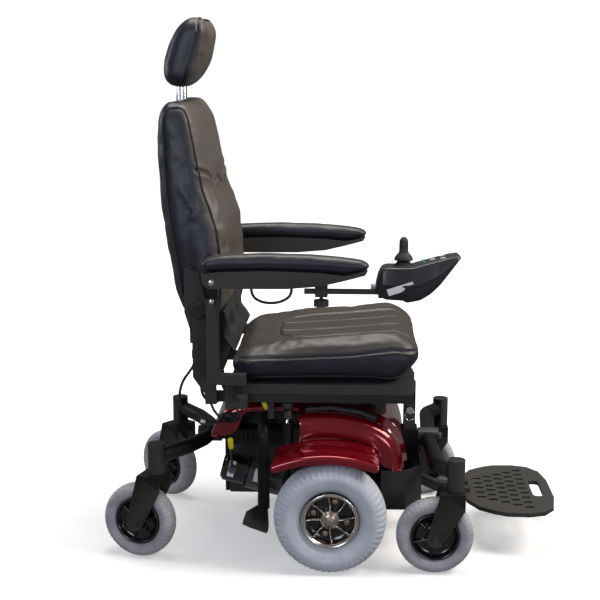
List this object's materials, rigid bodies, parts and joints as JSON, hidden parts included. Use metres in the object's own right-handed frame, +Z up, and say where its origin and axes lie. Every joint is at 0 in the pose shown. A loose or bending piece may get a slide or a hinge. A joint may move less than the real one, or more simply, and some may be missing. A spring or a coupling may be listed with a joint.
{
  "type": "power wheelchair",
  "caption": "Mid-wheel-drive power wheelchair with a folding high-back seat, flip-up armrests, joystick controller, swivelling casters and a folding footplate.",
  "frame": {"origin": "on the floor under the middle of the drive axle, which is the bottom centre of the box within a few millimetres", "axes": "+X the way the chair faces, +Y to its left, +Z up"},
  "size_m": [1.0857, 0.6084, 1.26],
  "materials": {
    "tyre_grey": "matt pale grey moulded polyurethane",
    "caster_wheel": "matt pale grey tyre on a dark moulded hub",
    "alloy": "polished, with black pockets",
    "painted_black": "satin black powder coat",
    "battery_case": "moulded case",
    "shroud_red": "gloss candy red metallic",
    "trim_black": "fine-grained moulded plastic",
    "module_black": "black anodised fins",
    "motor_black": "gloss black enamel",
    "strut_steel": "black spring and rod",
    "lever_steel": "yellow grip on a black stem",
    "vinyl_black": "satin black vinyl, fine grain",
    "arm_pad_black": "moulded soft pad, fine grain",
    "chrome": "polished",
    "knob_black": "moulded",
    "case_black": "satin moulded case",
    "button_grey": "moulded keys",
    "stick_rubber": "soft moulded rubber",
    "cable_black": "cable sheath"
  },
  "bodies": {
    "base": {"base_frame": "painted_black", "battery_tray": "painted_black", "batteries": "battery_case", "shroud": "shroud_red", "shroud_trim": "trim_black", "fenders": "shroud_red", "front_cover": "trim_black", "power_module": "module_black", "seat_frame": "painted_black", "seat_pan": "trim_black", "seat_cushion": "vinyl_black", "armrest_posts": "painted_black", "back_brackets": "painted_black", "anti_tip_legs": "painted_black", "strut_springs": "strut_steel", "footrest_post": "painted_black", "seat_looms": "cable_black"},
    "seat_release": {"seat_release_lever": "lever_steel"},
    "front_axle": {"front_beam": "painted_black"},
    "rear_axle": {"rear_beam": "painted_black"},
    "back": {"back_cushion": "vinyl_black", "back_frame": "painted_black"},
    "recline_lock": {"recline_knob": "knob_black"},
    "headrest": {"headrest_pad": "vinyl_black", "headrest_posts": "chrome"},
    "arm_right": {"armrest_shell_right": "trim_black", "armrest_pad_right": "arm_pad_black", "control_cable": "cable_black"},
    "arm_left": {"armrest_shell_left": "trim_black", "armrest_pad_left": "arm_pad_black"},
    "arm_clamp": {"clamp_knob": "knob_black"},
    "controller": {"controller_bar": "painted_black", "controller_case": "case_black"},
    "power_key": {"power_button": "button_grey"},
    "horn_key": {"horn_button": "button_grey"},
    "speed_key": {"speed_button": "button_grey"},
    "stick_gimbal": {"joystick_bellows": "stick_rubber"},
    "stick": {"joystick": "stick_rubber"},
    "footrest": {"footrest_leg": "painted_black"},
    "footrest_pin": {"height_pin": "knob_black"},
    "foot_support": {"footplate": "trim_black"},
    "drive_unit_right": {"gearbox_right": "motor_black", "motor_right": "motor_black"},
    "drive_wheel_right": {"drive_tyre_right": "tyre_grey", "drive_rim_right": "alloy"},
    "freewheel_right": {"freewheel_lever_right": "lever_steel"},
    "front_right_swivel": {"front_right_fork": "painted_black"},
    "front_right_caster": {"front_right_wheel": "caster_wheel"},
    "rear_right_swivel": {"rear_right_fork": "painted_black"},
    "rear_right_caster": {"rear_right_wheel": "caster_wheel"},
    "drive_unit_left": {"gearbox_left": "motor_black", "motor_left": "motor_black"},
    "drive_wheel_left": {"drive_tyre_left": "tyre_grey", "drive_rim_left": "alloy"},
    "freewheel_left": {"freewheel_lever_left": "lever_steel"},
    "front_left_swivel": {"front_left_fork": "painted_black"},
    "front_left_caster": {"front_left_wheel": "caster_wheel"},
    "rear_left_swivel": {"rear_left_fork": "painted_black"},
    "rear_left_caster": {"rear_left_wheel": "caster_wheel"}
  },
  "joints": [
    {"name": "suspension_right", "type": "hinge", "parent": "base", "child": "drive_unit_right", "pos_m": [0.13, -0.13, 0.15], "axis": [0, 1, 0], "range_deg": [-1.2, 1.2], "stiffness_Nm_per_rad": 9000},
    {"name": "drive_spin_right", "type": "hinge", "parent": "drive_unit_right", "child": "drive_wheel_right", "pos_m": [0, -0.263, 0.13], "axis": [0, 1, 0], "continuous": true},
    {"name": "freewheel_right_turn", "type": "hinge", "parent": "drive_unit_right", "child": "freewheel_right", "pos_m": [-0.236, -0.155, 0.204], "axis": [0, 1, 0], "range_deg": [0, 30]},
    {"name": "front_right_swivel_turn", "type": "hinge", "parent": "front_axle", "child": "front_right_swivel", "pos_m": [0.287, -0.259, 0.2], "axis": [0, 0, 1], "continuous": true},
    {"name": "front_right_spin", "type": "hinge", "parent": "front_right_swivel", "child": "front_right_caster", "pos_m": [0.241, -0.259, 0.089], "axis": [0, 1, 0], "continuous": true},
    {"name": "rear_right_swivel_turn", "type": "hinge", "parent": "rear_axle", "child": "rear_right_swivel", "pos_m": [-0.409, -0.203, 0.2], "axis": [0, 0, 1], "continuous": true},
    {"name": "rear_right_spin", "type": "hinge", "parent": "rear_right_swivel", "child": "rear_right_caster", "pos_m": [-0.45299, -0.18955, 0.089], "axis": [0.2924, 0.9563, 0], "continuous": true},
    {"name": "suspension_left", "type": "hinge", "parent": "base", "child": "drive_unit_left", "pos_m": [0.13, 0.13, 0.15], "axis": [0, 1, 0], "range_deg": [-1.2, 1.2], "stiffness_Nm_per_rad": 9000},
    {"name": "drive_spin_left", "type": "hinge", "parent": "drive_unit_left", "child": "drive_wheel_left", "pos_m": [0, 0.263, 0.13], "axis": [0, 1, 0], "continuous": true},
    {"name": "freewheel_left_turn", "type": "hinge", "parent": "drive_unit_left", "child": "freewheel_left", "pos_m": [-0.236, 0.155, 0.204], "axis": [0, 1, 0], "range_deg": [0, 30]},
    {"name": "front_left_swivel_turn", "type": "hinge", "parent": "front_axle", "child": "front_left_swivel", "pos_m": [0.287, 0.259, 0.2], "axis": [0, 0, 1], "continuous": true},
    {"name": "front_left_spin", "type": "hinge", "parent": "front_left_swivel", "child": "front_left_caster", "pos_m": [0.241, 0.259, 0.089], "axis": [0, 1, 0], "continuous": true},
    {"name": "rear_left_swivel_turn", "type": "hinge", "parent": "rear_axle", "child": "rear_left_swivel", "pos_m": [-0.409, 0.203, 0.2], "axis": [0, 0, 1], "continuous": true},
    {"name": "rear_left_spin", "type": "hinge", "parent": "rear_left_swivel", "child": "rear_left_caster", "pos_m": [-0.44525, 0.23132, 0.089], "axis": [0.6157, 0.788, 0], "continuous": true},
    {"name": "front_axle_rock", "type": "hinge", "parent": "base", "child": "front_axle", "pos_m": [0.238, 0, 0.24], "axis": [1, 0, 0], "range_deg": [-6, 6]},
    {"name": "rear_axle_rock", "type": "hinge", "parent": "base", "child": "rear_axle", "pos_m": [-0.301, 0, 0.25], "axis": [1, 0, 0], "range_deg": [-6, 6]},
    {"name": "back_recline", "type": "hinge", "parent": "base", "child": "back", "pos_m": [-0.3, 0, 0.606], "axis": [0, 1, 0], "range_deg": [-20, 85]},
    {"name": "recline_lock_turn", "type": "hinge", "parent": "base", "child": "recline_lock", "pos_m": [-0.3, -0.242, 0.606], "axis": [0, 1, 0], "continuous": true},
    {"name": "headrest_height", "type": "slide", "parent": "back", "child": "headrest", "axis": [0, 0, 1], "range_m": [0, 0.06]},
    {"name": "armrest_flip_right", "type": "hinge", "parent": "base", "child": "arm_right", "pos_m": [-0.265, -0.263, 0.679], "axis": [0, 1, 0], "range_deg": [-95, 0]},
    {"name": "armrest_flip_left", "type": "hinge", "parent": "base", "child": "arm_left", "pos_m": [-0.265, 0.263, 0.679], "axis": [0, 1, 0], "range_deg": [-95, 0]},
    {"name": "arm_clamp_turn", "type": "hinge", "parent": "arm_right", "child": "arm_clamp", "pos_m": [-0.022, -0.263, 0.64], "axis": [0, 0, 1], "continuous": true},
    {"name": "controller_reach", "type": "slide", "parent": "arm_right", "child": "controller", "axis": [1, 0, 0], "range_m": [0, 0.04]},
    {"name": "power_press", "type": "slide", "parent": "controller", "child": "power_key", "axis": [0.2419, 0, -0.9703], "range_m": [0, 0.0013], "stiffness_N_per_m": 500},
    {"name": "horn_press", "type": "slide", "parent": "controller", "child": "horn_key", "axis": [0.2419, 0, -0.9703], "range_m": [0, 0.0013], "stiffness_N_per_m": 500},
    {"name": "speed_press", "type": "slide", "parent": "controller", "child": "speed_key", "axis": [0.2419, 0, -0.9703], "range_m": [0, 0.0013], "stiffness_N_per_m": 500},
    {"name": "stick_fore_aft", "type": "hinge", "parent": "controller", "child": "stick_gimbal", "pos_m": [0.159, -0.258, 0.716], "axis": [0, 1, 0], "range_deg": [-16, 16], "stiffness_Nm_per_rad": 0.4},
    {"name": "stick_side", "type": "hinge", "parent": "stick_gimbal", "child": "stick", "pos_m": [0.159, -0.258, 0.716], "axis": [1, 0, 0], "range_deg": [-16, 16], "stiffness_Nm_per_rad": 0.4},
    {"name": "seat_release_turn", "type": "hinge", "parent": "base", "child": "seat_release", "pos_m": [-0.14, -0.175, 0.35], "axis": [0, 1, 0], "range_deg": [-30, 0]},
    {"name": "footrest_height", "type": "slide", "parent": "base", "child": "footrest", "axis": [0, 0, 1], "range_m": [-0.02, 0.015]},
    {"name": "height_pin_pull", "type": "slide", "parent": "base", "child": "footrest_pin", "axis": [0, -1, 0], "range_m": [0, 0.008], "stiffness_N_per_m": 600},
    {"name": "footplate_flip", "type": "hinge", "parent": "footrest", "child": "foot_support", "pos_m": [0.318, 0, 0.112], "axis": [0, 1, 0], "range_deg": [-95, 0]}
  ]
}
